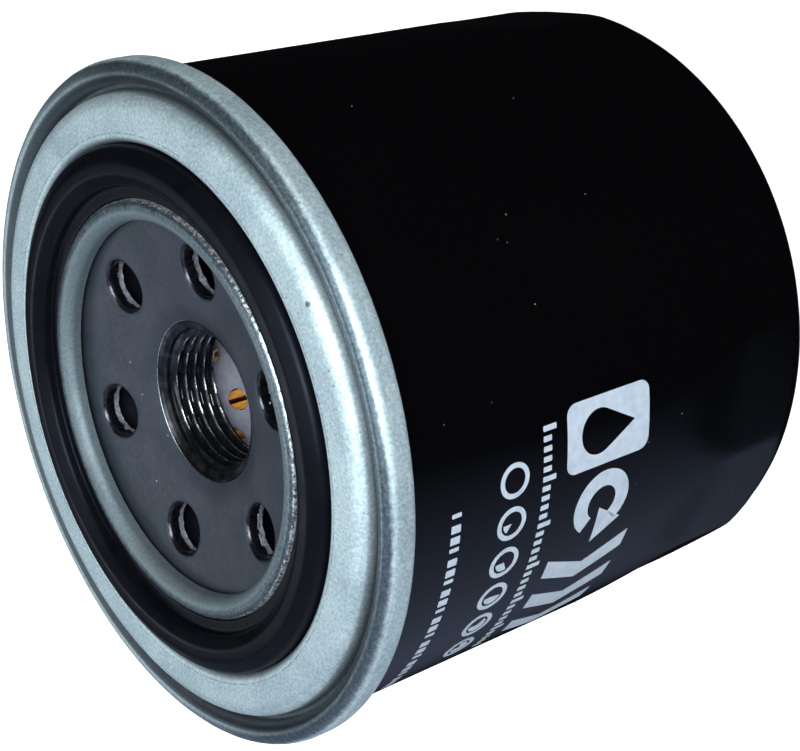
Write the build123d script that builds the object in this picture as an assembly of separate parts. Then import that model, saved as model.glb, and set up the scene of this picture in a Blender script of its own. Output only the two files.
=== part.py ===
from build123d import *
from math import cos, pi, radians, sin, tan
import os

# Spin-on oil filter, in millimetres. +Z runs along the filter's axis towards the threaded end.
# The origin is the centre of the closed end, which stands on z = 0.

# ---- driving dimensions -------------------------------------------------------------------
FACE_Z = 81.5              # top of the flat annulus around the gasket
CAN_R = 44.45              # can wall, outside
SHEET = 0.6                # thickness of the can and the cover
CAN_CORNER = 7.5           # outside radius of the closed end's corner
PANEL_R = 25.0             # shallow recessed panel in the closed end
PANEL_DEPTH = 1.2

FLUTES = 15                # wrench flutes for a 93 mm, 15-flute cap wrench
FLUTE_PHASE = -2.9         # angle of one ridge between two flutes
FLUTE_DEPTH = 0.9
FLUTE_TOP = 29.0           # where a flute's sloping run-out leaves the wall
FLUTE_SLOPE = 10.0         # run-out slope, degrees from the wall

SEAM_GAP = 0.08            # clearance between neighbouring layers of the double seam
SEAM_TOP = FACE_Z - 0.95
SEAM_BOTTOM = FACE_Z - 5.12
VALLEY_Z = FACE_Z - 3.1    # top surface at the bottom of the valley inside the seam
VALLEY_R = 42.3            # inner wall of that valley, middle of the sheet

GROOVE_OUT_R = 35.9        # gasket groove
GROOVE_IN_R = 28.56
GROOVE_FLOOR = FACE_Z - 3.1
LIP_TOP = FACE_Z - 0.45    # inner ring that holds the gasket in its groove
LIP_IN_R = 25.66

GASKET_TOP = FACE_Z + 1.4
GASKET_SKIRT_R = 30.5      # the gasket steps down to a thin skirt inside this radius
GASKET_SKIRT_TOP = FACE_Z - 0.95

PLATE_TOP = FACE_Z - 3.7
PLATE_T = 2.8
PLATE_R = 41.0
INLETS = 6
INLET_R = 3.55
INLET_CIRCLE_R = 20.0
INLET_PHASE = -90.0
THREAD_R = 9.188           # minor radius of the M20 x 1.5 internal thread
LEAD_IN_R = 11.3           # rounded edge where the plate dips into the threaded collar
DIP_R = 13.2               # where the dip starts
DIP = 2.9
DISH_R = 25.2              # the plate is dished inside this radius
DISH = 1.9                 # fall from there to the start of the dip
COLLAR_R = 12.5
COLLAR_BOTTOM = FACE_Z - 15.0

ELEMENT_R = 39.5           # outside of the end caps
CAP_T = 0.5
CAP_SKIRT = 3.5
UPPER_CAP_TOP = 68.0       # the plate's collar reaches down into this cap's hole
UPPER_CAP_HOLE_R = 12.8
LOWER_CAP_BOTTOM = 13.0
LOWER_CAP_HOLE_R = 10.0
FIT_GAP = 0.05             # clearance between pieces that touch
TUBE_R = 14.4
TUBE_T = 0.4
TUBE_STARTS = 7            # the perforations run in this many parallel helical rows
TUBE_TURN = 21.4           # step from one hole of a row to the next, in degrees and mm
TUBE_RISE = 3.1
TUBE_HOLE_R = 1.65
TUBE_HOLE_Z = 61.1         # height and angle of one hole
TUBE_HOLE_PHASE = 100.8
POTTING_T = 1.1
PLEATS = 50
PAPER_T = 0.45
PLEAT_OUT_R = 38.6
PLEAT_IN_R = 14.7

VALVE_FOOT_R = 15.6        # anti-drain valve: clamped foot, and the lip under the inlets
VALVE_FOOT_T = 1.4
VALVE_LIP_R = 26.9
VALVE_LIP_W = 1.0
VALVE_WEB = 1.9            # height of the sloping web at the foot

SEAT_R = 7.5               # opening of the bypass valve
SEAT_SOCKET_R = 9.9        # where the seat passes through the lower cap
SEAT_DROP = 0.8
VALVE_R = 9.2
STEM_R = 1.85
STEM_TOP = 31.0
HEAD_R = 3.4               # riveted head under the seal
BYPASS_SPRING_R = 6.0
BYPASS_WIRE_R = 0.5
CAGE_R = 11.7
CAGE_T = 0.8
CAGE_TOP = 26.1
CAGE_WINDOWS = 3
CAGE_WINDOW_W = 13.0
CAGE_PORTS = 6
CAGE_PORT_R = 2.3
CAGE_PORT_CIRCLE_R = 7.4

COIL_R = 15.8              # element spring, middle of the wire
COIL_WIRE_R = 0.9
COIL_TURNS = 2.6
RETAINER_R = 18.2          # spring seat: pressed dish over the coil
RETAINER_HOLE_R = 10.6
RETAINER_T = 0.6
RETAINER_LIP = 1.8


# ---- helpers ------------------------------------------------------------------------------
def lathe(points, fillets=None):
    """Solid of revolution from a closed (radius, z) outline, with a fillet for each point."""
    if fillets:
        outline = FilletPolyline(*points, radius=fillets, close=True)
    else:
        outline = Polyline(*points, close=True)
    return revolve(Plane.XZ * make_face(outline), Axis.Z)


def ring(inner_r, outer_r, bottom, top):
    """Plain ring or, with inner_r 0, a disc."""
    body = extrude(Pos(0, 0, bottom) * Circle(outer_r), top - bottom)
    if inner_r > 0:
        body -= extrude(Pos(0, 0, bottom) * Circle(inner_r), top - bottom)
    return body


def pressed_sheet(points, bends, thickness):
    """Revolved sheet metal: the middle line of the sheet and the radii of its inner corners."""
    middle = FilletPolyline(*points, radius=bends)
    band = offset(middle, thickness / 2, kind=Kind.TANGENT, side=Side.BOTH)
    return revolve(Plane.XZ * make_face(band), Axis.Z)


def around(shape, count, phase=0.0):
    """Copies of a shape made at angle 0, spaced evenly around Z."""
    return [Rot(0, 0, phase + k * 360 / count) * shape for k in range(count)]


def coil(radius, wire_r, bottom, top, turns):
    """Round-wire compression spring between two heights, measured over the wire."""
    height = top - bottom - 2 * wire_r
    line = Pos(0, 0, bottom + wire_r) * Helix(pitch=height / turns, height=height, radius=radius)
    section = Plane(origin=line @ 0, z_dir=line % 0) * Circle(wire_r)
    return sweep(section, path=line, is_frenet=True)


# ---- double seam: radii of the five layers, middle of each sheet ---------------------------
CAN_MID = CAN_R - SHEET / 2
CHUCK_MID = CAN_MID - SHEET - SEAM_GAP - 0.02
COVER_HOOK_MID = CAN_MID + SHEET + SEAM_GAP
CAN_HOOK_MID = COVER_HOOK_MID + SHEET + SEAM_GAP
SEAM_WALL_MID = CAN_HOOK_MID + SHEET + SEAM_GAP
SEAM_CREST_MID = SEAM_TOP - SHEET / 2
CAN_CREST_MID = SEAM_CREST_MID - SHEET - SEAM_GAP
SEAM_FOOT_MID = SEAM_BOTTOM + SHEET / 2


def nearly(radius):
    """Bend radius just under the given one, so that two bends in a row keep a short straight."""
    return radius - 0.01


# ---- can ------------------------------------------------------------------------------------
def flute_cutter(wall_r):
    """Slab that cuts one flute with a sloping run-out, at angle 0, from a wall of this radius."""
    flat_r = wall_r - FLUTE_DEPTH
    clear = 1.0
    slope = tan(radians(FLUTE_SLOPE))
    side = Polyline(
        (wall_r + clear, FLUTE_TOP + clear / slope),
        (flat_r, FLUTE_TOP - FLUTE_DEPTH / slope),
        (flat_r, -clear),
        (wall_r + clear, -clear),
        close=True,
    )
    width = 2 * wall_r * sin(radians(360 / FLUTES / 2)) + 4.0
    return extrude(Plane.XZ * make_face(side), width / 2, both=True)


def fluted_cup(wall_r, corner, floor, top):
    """Solid cup blank with the flutes cut into it."""
    panel_top = floor + PANEL_DEPTH
    blank = lathe(
        [(0, panel_top), (PANEL_R - 1.2, panel_top), (PANEL_R + 0.6, floor), (wall_r, floor),
         (wall_r, top), (0, top)],
        [0, 0.6, 0.6, corner, 0, 0],
    )
    for cutter in around(flute_cutter(wall_r), FLUTES, FLUTE_PHASE + 180 / FLUTES):
        blank -= cutter
    return blank


def make_can():
    wall_top = SEAM_BOTTOM - 2.0
    cup = fluted_cup(CAN_R, CAN_CORNER, 0, wall_top)
    cup -= fluted_cup(CAN_R - SHEET, CAN_CORNER - SHEET, SHEET, wall_top)
    rim = pressed_sheet(
        [(CAN_MID, wall_top - 1.0), (CAN_MID, CAN_CREST_MID), (CAN_HOOK_MID, CAN_CREST_MID),
         (CAN_HOOK_MID, SEAM_FOOT_MID + SHEET + 0.5)],
        [nearly((CAN_HOOK_MID - CAN_MID) / 2)] * 2,
        SHEET,
    )
    return cup + rim


# ---- cover, gasket and sealant ----------------------------------------------------------------
def make_cover():
    half = SHEET / 2
    crest_bend = nearly((SEAM_WALL_MID - CHUCK_MID) / 2)
    foot_bend = nearly((SEAM_WALL_MID - COVER_HOOK_MID) / 2)
    inner_end = (LIP_IN_R + half, GROOVE_FLOOR + 0.2)
    hook_end = (COVER_HOOK_MID, CAN_CREST_MID - SHEET - 0.4)
    corners = [
        ((LIP_IN_R + half, LIP_TOP - half), 1.3),
        ((GROOVE_IN_R - half, LIP_TOP - half), 0.45),
        ((GROOVE_IN_R - half, GROOVE_FLOOR - half), 0.45),
        ((GROOVE_OUT_R + half, GROOVE_FLOOR - half), 0.45),
        ((GROOVE_OUT_R + half, FACE_Z - half), 1.0),
        ((VALLEY_R - 0.7, FACE_Z - half), 1.8),
        ((VALLEY_R, VALLEY_Z - half), 0.5),
        ((CHUCK_MID, VALLEY_Z - half), 0.5),
        ((CHUCK_MID, SEAM_CREST_MID), crest_bend),
        ((SEAM_WALL_MID, SEAM_CREST_MID), crest_bend),
        ((SEAM_WALL_MID, SEAM_FOOT_MID), foot_bend),
        ((COVER_HOOK_MID, SEAM_FOOT_MID), foot_bend),
    ]
    points = [inner_end] + [point for point, _ in corners] + [hook_end]
    return pressed_sheet(points, [bend for _, bend in corners], SHEET)


def make_sealant():
    bottom = SEAM_FOOT_MID + SHEET / 2 + FIT_GAP
    width = SHEET / 2
    return ring(CAN_HOOK_MID - width / 2, CAN_HOOK_MID + width / 2, bottom, bottom + 0.35)


def make_gasket():
    bottom = GROOVE_FLOOR + FIT_GAP
    inner = GROOVE_IN_R + FIT_GAP + 0.05
    outer = GROOVE_OUT_R - FIT_GAP
    crest_in = GASKET_SKIRT_R + 1.6
    crest_out = outer - 2.1
    return lathe(
        [(inner, bottom), (outer, bottom), (outer, GASKET_TOP - 1.0), (crest_out, GASKET_TOP),
         (crest_in, GASKET_TOP), (GASKET_SKIRT_R, GASKET_TOP - 1.0),
         (GASKET_SKIRT_R - 0.15, GASKET_SKIRT_TOP), (inner, GASKET_SKIRT_TOP)],
        [0.3, 0.3, 1.1, 1.5, 1.2, 0.9, 0.3, 0.3],
    )


# ---- tapping plate and drain valve --------------------------------------------------------------
def make_tapping_plate():
    bottom = PLATE_TOP - PLATE_T
    plate = lathe(
        [(THREAD_R, COLLAR_BOTTOM), (COLLAR_R, COLLAR_BOTTOM), (COLLAR_R, bottom - DISH),
         (DIP_R, bottom - DISH), (DISH_R - 0.6, bottom), (PLATE_R, bottom),
         (PLATE_R, PLATE_TOP), (DISH_R, PLATE_TOP), (DIP_R, PLATE_TOP - DISH),
         (LEAD_IN_R, PLATE_TOP - DIP), (THREAD_R, PLATE_TOP - DIP - 1.6)],
        [0.3, 0.4, 0.3, 1.0, 6.0, 0.4, 0.4, 12.0, 2.5, 0.5, 0],
    )
    hole = Pos(INLET_CIRCLE_R, 0, bottom - DISH) * extrude(Circle(INLET_R), PLATE_T + 2)
    for cutter in around(hole, INLETS, INLET_PHASE):
        plate -= cutter
    return plate


def make_drain_valve():
    """Rubber diaphragm: a foot around the collar and a sloping web up to a sealing lip."""
    foot = UPPER_CAP_TOP + FIT_GAP
    lid = PLATE_TOP - PLATE_T - FIT_GAP
    neck = COLLAR_R + FIT_GAP
    shoulder = foot + VALVE_FOOT_T
    return lathe(
        [(neck, foot), (VALVE_FOOT_R, foot), (VALVE_FOOT_R, shoulder),
         (VALVE_LIP_R - 0.3, lid - VALVE_LIP_W), (VALVE_LIP_R, lid),
         (VALVE_LIP_R - VALVE_LIP_W, lid), (VALVE_LIP_R - 2 * VALVE_LIP_W, lid - 0.6),
         (VALVE_FOOT_R, shoulder + VALVE_WEB / 2), (VALVE_FOOT_R - 1.2, shoulder + VALVE_WEB),
         (neck, shoulder + VALVE_WEB)],
    )


# ---- filter element ---------------------------------------------------------------------------
TUBE_BOTTOM = LOWER_CAP_BOTTOM + CAP_T + FIT_GAP
TUBE_TOP = UPPER_CAP_TOP - CAP_T - FIT_GAP
PLEAT_BOTTOM = TUBE_BOTTOM + POTTING_T
PLEAT_TOP = TUBE_TOP - POTTING_T


def make_potting(bottom, top):
    return ring(TUBE_R + 0.1, ELEMENT_R - CAP_T - 0.35, bottom, top)


def make_upper_cap():
    top, under = UPPER_CAP_TOP, UPPER_CAP_TOP - CAP_T
    foot = UPPER_CAP_TOP - CAP_SKIRT
    return lathe(
        [(UPPER_CAP_HOLE_R, under), (ELEMENT_R - CAP_T, under), (ELEMENT_R - CAP_T, foot),
         (ELEMENT_R, foot), (ELEMENT_R, top), (UPPER_CAP_HOLE_R, top)],
        [0, 0.3, 0, 0, 0.8, 0],
    )


def make_lower_cap():
    bottom, over = LOWER_CAP_BOTTOM, LOWER_CAP_BOTTOM + CAP_T
    rim = LOWER_CAP_BOTTOM + CAP_SKIRT
    return lathe(
        [(LOWER_CAP_HOLE_R, bottom), (ELEMENT_R, bottom), (ELEMENT_R, rim),
         (ELEMENT_R - CAP_T, rim), (ELEMENT_R - CAP_T, over), (LOWER_CAP_HOLE_R, over)],
        [0, 0.8, 0, 0, 0.3, 0],
    )


def make_center_tube():
    """Tube with round perforations in helical rows, kept clear of both of its ends."""
    tube = ring(TUBE_R - TUBE_T, TUBE_R, TUBE_BOTTOM, TUBE_TOP)
    drill = Rot(0, 90, 0) * extrude(Circle(TUBE_HOLE_R), TUBE_R + 1)
    margin = TUBE_HOLE_R + 0.8
    rows_down = int((TUBE_HOLE_Z - TUBE_BOTTOM - margin) / TUBE_RISE)
    rows_up = int((TUBE_TOP - margin - TUBE_HOLE_Z) / TUBE_RISE)
    for row in range(-rows_down, rows_up + 1):
        height = TUBE_HOLE_Z + row * TUBE_RISE
        phase = TUBE_HOLE_PHASE + row * TUBE_TURN
        tube -= [Pos(0, 0, height) * cutter for cutter in around(drill, TUBE_STARTS, phase)]
    return tube


def pleat_boundary(outer_r, outer_half, inner_r, inner_half):
    """Closed zigzag: each pleat is a flat tip at outer_r and a flat tip at inner_r."""
    pitch = 2 * pi / PLEATS
    points = []
    for k in range(PLEATS):
        middle = k * pitch
        for radius, angle in (
            (outer_r, middle - outer_half / outer_r),
            (outer_r, middle + outer_half / outer_r),
            (inner_r, middle + pitch / 2 - inner_half / inner_r),
            (inner_r, middle + pitch / 2 + inner_half / inner_r),
        ):
            points.append((radius * cos(angle), radius * sin(angle)))
    return make_face(Polyline(*points, close=True))


def make_media():
    tip_half, fold_half = 0.75, 0.1
    outside = pleat_boundary(PLEAT_OUT_R, tip_half, PLEAT_IN_R + PAPER_T, fold_half)
    inside = pleat_boundary(
        PLEAT_OUT_R - PAPER_T, tip_half - PAPER_T, PLEAT_IN_R, fold_half + PAPER_T
    )
    return extrude(Pos(0, 0, PLEAT_BOTTOM) * (outside - inside), PLEAT_TOP - PLEAT_BOTTOM)


def make_seam_clip():
    """U-shaped strip over the tip of the pleat at angle 0."""
    wall, reach, gap = 0.35, 4.0, 0.85
    length = PLEAT_TOP - PLEAT_BOTTOM - 2.0
    middle_z = (PLEAT_TOP + PLEAT_BOTTOM) / 2
    outer = PLEAT_OUT_R + 0.02
    block = Pos(outer + wall - reach / 2, 0, middle_z) * Box(reach, 2 * (gap + wall), length)
    slot = Pos(outer - reach / 2, 0, middle_z) * Box(reach, 2 * gap, length)
    return block - slot


# ---- bypass valve -----------------------------------------------------------------------------
SEAT_BASE = LOWER_CAP_BOTTOM + CAP_T + FIT_GAP
SEAT_FLANGE_TOP = SEAT_BASE + 0.6
SEAT_TOP = SEAT_BASE + 1.65
SEAL_BOTTOM = SEAT_TOP + FIT_GAP
SEAL_T = 1.2
DISC_BOTTOM = SEAL_BOTTOM + SEAL_T
DISC_TOP = DISC_BOTTOM + 0.6


def make_valve_seat():
    tube_inside = TUBE_R - TUBE_T - 0.3
    foot = LOWER_CAP_BOTTOM - SEAT_DROP
    return lathe(
        [(SEAT_R, foot), (SEAT_SOCKET_R, foot), (SEAT_SOCKET_R, SEAT_BASE),
         (tube_inside, SEAT_BASE), (tube_inside, SEAT_FLANGE_TOP),
         (SEAT_R + 0.9, SEAT_FLANGE_TOP), (SEAT_R + 0.6, SEAT_TOP), (SEAT_R, SEAT_TOP)],
    )


def make_valve_seal():
    return ring(STEM_R + FIT_GAP, VALVE_R + 0.2, SEAL_BOTTOM, DISC_BOTTOM - 0.02)


def make_plunger():
    disc = ring(0, VALVE_R, DISC_BOTTOM, DISC_TOP)
    stem = ring(0, STEM_R, SEAL_BOTTOM - 0.9, STEM_TOP)
    head = ring(0, HEAD_R, SEAL_BOTTOM - 1.0, SEAL_BOTTOM - 0.04)
    return disc + stem + head


def make_cage():
    base = SEAT_FLANGE_TOP + FIT_GAP
    outer_base = TUBE_R - TUBE_T - 0.3
    shell = lathe(
        [(CAGE_R - CAGE_T, base), (outer_base, base), (outer_base, base + CAGE_T),
         (CAGE_R, base + CAGE_T), (CAGE_R, CAGE_TOP), (STEM_R + 0.3, CAGE_TOP),
         (STEM_R + 0.3, CAGE_TOP - CAGE_T), (CAGE_R - CAGE_T, CAGE_TOP - CAGE_T)],
        [0, 0, 0, 0.3, 1.0, 0, 0, 0.2],
    )
    window_bottom = base + 2.2
    window_top = CAGE_TOP - 2.2
    window = Pos(CAGE_R, 0, (window_bottom + window_top) / 2) * Box(
        8.0, CAGE_WINDOW_W, window_top - window_bottom
    )
    port = Pos(CAGE_PORT_CIRCLE_R, 0, CAGE_TOP) * extrude(Circle(CAGE_PORT_R), 2.0, both=True)
    for cutter in around(window, CAGE_WINDOWS, 30) + around(port, CAGE_PORTS):
        shell -= cutter
    return shell


def make_bypass_spring():
    return coil(BYPASS_SPRING_R, BYPASS_WIRE_R, DISC_TOP + FIT_GAP,
                CAGE_TOP - CAGE_T - FIT_GAP, 4.5)


# ---- element spring ------------------------------------------------------------------------------
RETAINER_BOTTOM = LOWER_CAP_BOTTOM - 0.65


def make_spring_seat():
    flat = RETAINER_BOTTOM
    over = flat + RETAINER_T
    inner = RETAINER_R - CAP_T
    return lathe(
        [(RETAINER_HOLE_R, flat), (inner, flat), (inner, flat - RETAINER_LIP),
         (RETAINER_R, flat - RETAINER_LIP), (RETAINER_R, over), (RETAINER_HOLE_R, over)],
        [0, 0.2, 0, 0, 0.6, 0],
    )


def make_element_spring():
    floor = PANEL_DEPTH + SHEET + FIT_GAP
    return coil(COIL_R, COIL_WIRE_R, floor, RETAINER_BOTTOM - FIT_GAP, COIL_TURNS)


# ---- parts -----------------------------------------------------------------------------------------
PARTS = {
    "can": make_can,
    "cover_plate": make_cover,
    "gasket": make_gasket,
    "seam_sealant": make_sealant,
    "tapping_plate": make_tapping_plate,
    "anti_drain_valve": make_drain_valve,
    "upper_end_cap": make_upper_cap,
    "upper_potting": lambda: make_potting(PLEAT_TOP, TUBE_TOP),
    "center_tube": make_center_tube,
    "filter_media": make_media,
    "media_seam_clip": make_seam_clip,
    "lower_potting": lambda: make_potting(TUBE_BOTTOM, PLEAT_BOTTOM),
    "lower_end_cap": make_lower_cap,
    "bypass_valve_seat": make_valve_seat,
    "bypass_valve_seal": make_valve_seal,
    "bypass_valve_plunger": make_plunger,
    "bypass_valve_spring": make_bypass_spring,
    "bypass_valve_cage": make_cage,
    "spring_seat": make_spring_seat,
    "element_spring": make_element_spring,
}

os.makedirs("parts", exist_ok=True)
for name, make in PARTS.items():
    export_step(make(), f"parts/{name}.step")
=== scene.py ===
from math import ceil, cos, degrees, pi, radians, sin, sqrt, tan

import bmesh
import bpy
from mathutils import Matrix, Quaternion, Vector, noise


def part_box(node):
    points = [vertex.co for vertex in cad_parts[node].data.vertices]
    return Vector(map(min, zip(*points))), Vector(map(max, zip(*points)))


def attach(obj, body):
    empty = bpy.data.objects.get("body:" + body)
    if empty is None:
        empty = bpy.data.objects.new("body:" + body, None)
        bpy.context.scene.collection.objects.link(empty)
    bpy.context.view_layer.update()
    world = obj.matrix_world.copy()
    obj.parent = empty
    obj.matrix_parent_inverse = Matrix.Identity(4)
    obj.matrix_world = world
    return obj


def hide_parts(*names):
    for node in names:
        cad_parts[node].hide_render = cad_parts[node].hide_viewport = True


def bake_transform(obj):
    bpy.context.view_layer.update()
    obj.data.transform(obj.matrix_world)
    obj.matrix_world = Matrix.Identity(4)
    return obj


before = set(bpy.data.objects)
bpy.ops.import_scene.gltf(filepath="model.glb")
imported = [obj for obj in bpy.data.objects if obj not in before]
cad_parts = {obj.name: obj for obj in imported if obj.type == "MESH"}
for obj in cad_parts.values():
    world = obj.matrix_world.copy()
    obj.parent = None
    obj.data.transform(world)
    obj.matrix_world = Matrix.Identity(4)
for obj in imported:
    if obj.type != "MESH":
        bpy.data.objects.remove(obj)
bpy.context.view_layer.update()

MM = 0.001

# Driving dimensions in millimetres. +Z is the filter's axis, and the closed end stands on z = 0.
FACE_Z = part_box("cover_plate")[1].z / MM
CAN_R = 44.45                   # can wall, outside
SHEET = 0.6                     # thickness of the can and the cover
CAN_CORNER = 7.5                # outside radius of the closed end's corner
PANEL_R = 25.0                  # shallow recessed panel in the closed end
PANEL_DEPTH = 1.2
FLUTES = 15
FLUTE_PHASE = radians(-2.9)     # one ridge between two flutes
FLUTE_DEPTH = 0.93
FLUTE_TOP = 31.0                # a flute begins here and has its full depth at FLUTE_FULL
FLUTE_FULL = 15.0

SEAM_GAP = 0.08                 # clearance between layers of the double seam
SEAM_TOP = FACE_Z - 0.95
SEAM_BOTTOM = FACE_Z - 5.12
VALLEY_Z = FACE_Z - 3.1         # bottom of the valley inside the seam
VALLEY_R = 42.3
GROOVE_OUT_R = 35.9             # gasket groove
GROOVE_IN_R = 28.56
GROOVE_FLOOR = FACE_Z - 3.1
LIP_TOP = FACE_Z - 0.45
LIP_IN_R = 25.66
FLAW = (11.6, -39.2)            # small dark mark on the cover's face

GASKET_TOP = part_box("gasket")[1].z / MM
GASKET_SKIRT_R = 30.5
GASKET_SKIRT_TOP = FACE_Z - 0.95

PLATE_TOP = FACE_Z - 3.7
PLATE_T = 2.8
PLATE_R = 41.0
INLETS = 6
INLET_R = 3.55
INLET_CIRCLE_R = 20.0
INLET_PHASE = radians(-90)
THREAD_R = 9.188                # minor radius
THREAD_DEPTH = 0.81
THREAD_PITCH = 1.5
LEAD_IN_R = 11.3                # edge where the plate dips into the threaded collar
DIP_R = 13.2
DIP = 2.9
DISH_R = 25.2                   # the plate is dished inside this radius
DISH = 1.9
COLLAR_R = 12.5
COLLAR_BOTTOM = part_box("tapping_plate")[0].z / MM

VALVE_FOOT_R = 15.6             # anti-drain valve: clamped foot
VALVE_FOOT_T = 1.4
VALVE_WEB = 1.9                 # height of the sloping web at the foot

PLEATS = 50
PAPER_T = 0.45
PLEAT_IN_R = 14.7
PLEAT_TIP = 0.75                # half width of a fold at the outside of the pleats
PLEAT_FOLD = 0.1                # half width of a fold at their inside
PLEAT_ROWS = 25                 # rows of the paper's mesh from its bottom to its top

# Springs: radius of the coil, radius of the wire, turns.
BYPASS_SPRING = (6.0, 0.5, 5.5)
ELEMENT_SPRING = (15.8, 0.9, 3.6)

LATHE_STEPS = 720               # points around the can and the cover


# ---- double seam: middle radius of each layer ---------------------------------------------------
CAN_MID = CAN_R - SHEET / 2
CHUCK_MID = CAN_MID - SHEET - SEAM_GAP - 0.02
COVER_HOOK_MID = CAN_MID + SHEET + SEAM_GAP
CAN_HOOK_MID = COVER_HOOK_MID + SHEET + SEAM_GAP
SEAM_WALL_MID = CAN_HOOK_MID + SHEET + SEAM_GAP
SEAM_CREST_MID = SEAM_TOP - SHEET / 2
CAN_CREST_MID = SEAM_CREST_MID - SHEET - SEAM_GAP
SEAM_FOOT_MID = SEAM_BOTTOM + SHEET / 2


# ---- geometry helpers ---------------------------------------------------------------------------
def rounded(points, bends, closed=False, step=10.0):
    """Outline through the points, each corner rounded by its own radius."""
    out = []
    count = len(points)
    for i, (point, bend) in enumerate(zip(points, bends)):
        corner = Vector(point)
        if bend <= 0 or (not closed and i in (0, count - 1)):
            out.append(corner)
            continue
        before = (Vector(points[i - 1]) - corner).normalized()
        after = (Vector(points[(i + 1) % count]) - corner).normalized()
        half = before.angle(after) / 2
        centre = corner + (before + after).normalized() * bend / sin(half)
        start = corner + before * bend / tan(half) - centre
        turn = pi - 2 * half
        if start.x * before.y - start.y * before.x > 0:
            turn = -turn
        steps = max(2, ceil(degrees(abs(turn)) / step))
        for k in range(steps + 1):
            angle = turn * k / steps
            out.append(centre + Vector((
                start.x * cos(angle) - start.y * sin(angle),
                start.x * sin(angle) + start.y * cos(angle),
            )))
    return out


def divided(outline, longest, closed=True):
    """The outline with points added so that no straight stretch is longer than that."""
    out = []
    pairs = list(zip(outline, outline[1:] + outline[:1]))
    if not closed:
        pairs = pairs[:-1]
    for a, b in pairs:
        parts = max(1, ceil((b - a).length / longest))
        out += [a.lerp(b, k / parts) for k in range(parts)]
    if not closed:
        out.append(outline[-1])
    return out


def sheet_outline(middle, thickness):
    """Closed outline of sheet metal whose middle line is given."""
    sides = ([], [])
    for i, point in enumerate(middle):
        along = middle[min(i + 1, len(middle) - 1)] - middle[max(i - 1, 0)]
        across = Vector((-along.y, along.x)).normalized() * thickness / 2
        sides[0].append(point + across)
        sides[1].append(point - across)
    return sides[0] + sides[1][::-1]


def add_object(name, data):
    """New object with this data, linked into the scene."""
    item = bpy.data.objects.new(name, data)
    bpy.context.scene.collection.objects.link(item)
    return item


def to_mesh(name, bm):
    """Mesh from a bmesh, which is freed."""
    mesh = bpy.data.meshes.new(name)
    bm.to_mesh(mesh)
    bm.free()
    return mesh


def evaluated_mesh(item):
    """New mesh of the object as its curve or modifiers make it."""
    bpy.context.view_layer.update()
    graph = bpy.context.evaluated_depsgraph_get()
    return bpy.data.meshes.new_from_object(item.evaluated_get(graph))


def new_piece(name, bm, body, material_list, sharp):
    """Piece from a bmesh in metres, smooth up to the sharp angle, riding on its body if any."""
    bmesh.ops.recalc_face_normals(bm, faces=bm.faces)
    mesh = to_mesh(name, bm)
    mesh.shade_smooth()
    mesh.set_sharp_from_angle(angle=radians(sharp))
    piece = add_object(name, mesh)
    for material in material_list:
        mesh.materials.append(material)
    if body:
        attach(piece, body)
    return piece


def lathe_mesh(outline, segments, shape=None, closed=True):
    """Mesh of revolution from (radius, z) points in mm; shape(r, z, angle) may bend each one."""
    bm = bmesh.new()
    rings = []
    for point in outline:
        if point.x < 1e-6:
            rings.append([bm.verts.new((0, 0, point.y * MM))])
            continue
        ring = []
        for k in range(segments):
            angle = 2 * pi * k / segments
            r, z = shape(point.x, point.y, angle) if shape else (point.x, point.y)
            ring.append(bm.verts.new((r * cos(angle) * MM, r * sin(angle) * MM, z * MM)))
        rings.append(ring)
    pairs = list(zip(rings, rings[1:] + rings[:1])) if closed else list(zip(rings, rings[1:]))
    for a, b in pairs:
        for k in range(segments):
            n = (k + 1) % segments
            if len(a) == 1 and len(b) == 1:
                break
            if len(a) == 1:
                bm.faces.new((a[0], b[k], b[n]))
            elif len(b) == 1:
                bm.faces.new((a[k], b[0], a[n]))
            else:
                bm.faces.new((a[k], b[k], b[n], a[n]))
    return bm


def smooth_min(a, b, blend):
    """The smaller of two values, with a rounded change-over."""
    h = max(blend - abs(a - b), 0.0) / blend
    return min(a, b) - h * h * blend / 4


def smooth_step(t):
    """0 to 1 with a level start and end."""
    t = min(max(t, 0.0), 1.0)
    return t * t * (3 - 2 * t)


def grain(r, z, angle, size, seed=0.0):
    """Repeatable noise from -1 to 1, with features of about that size in mm."""
    return noise.noise(Vector((r * cos(angle), r * sin(angle), z + seed)) / size)


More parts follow.
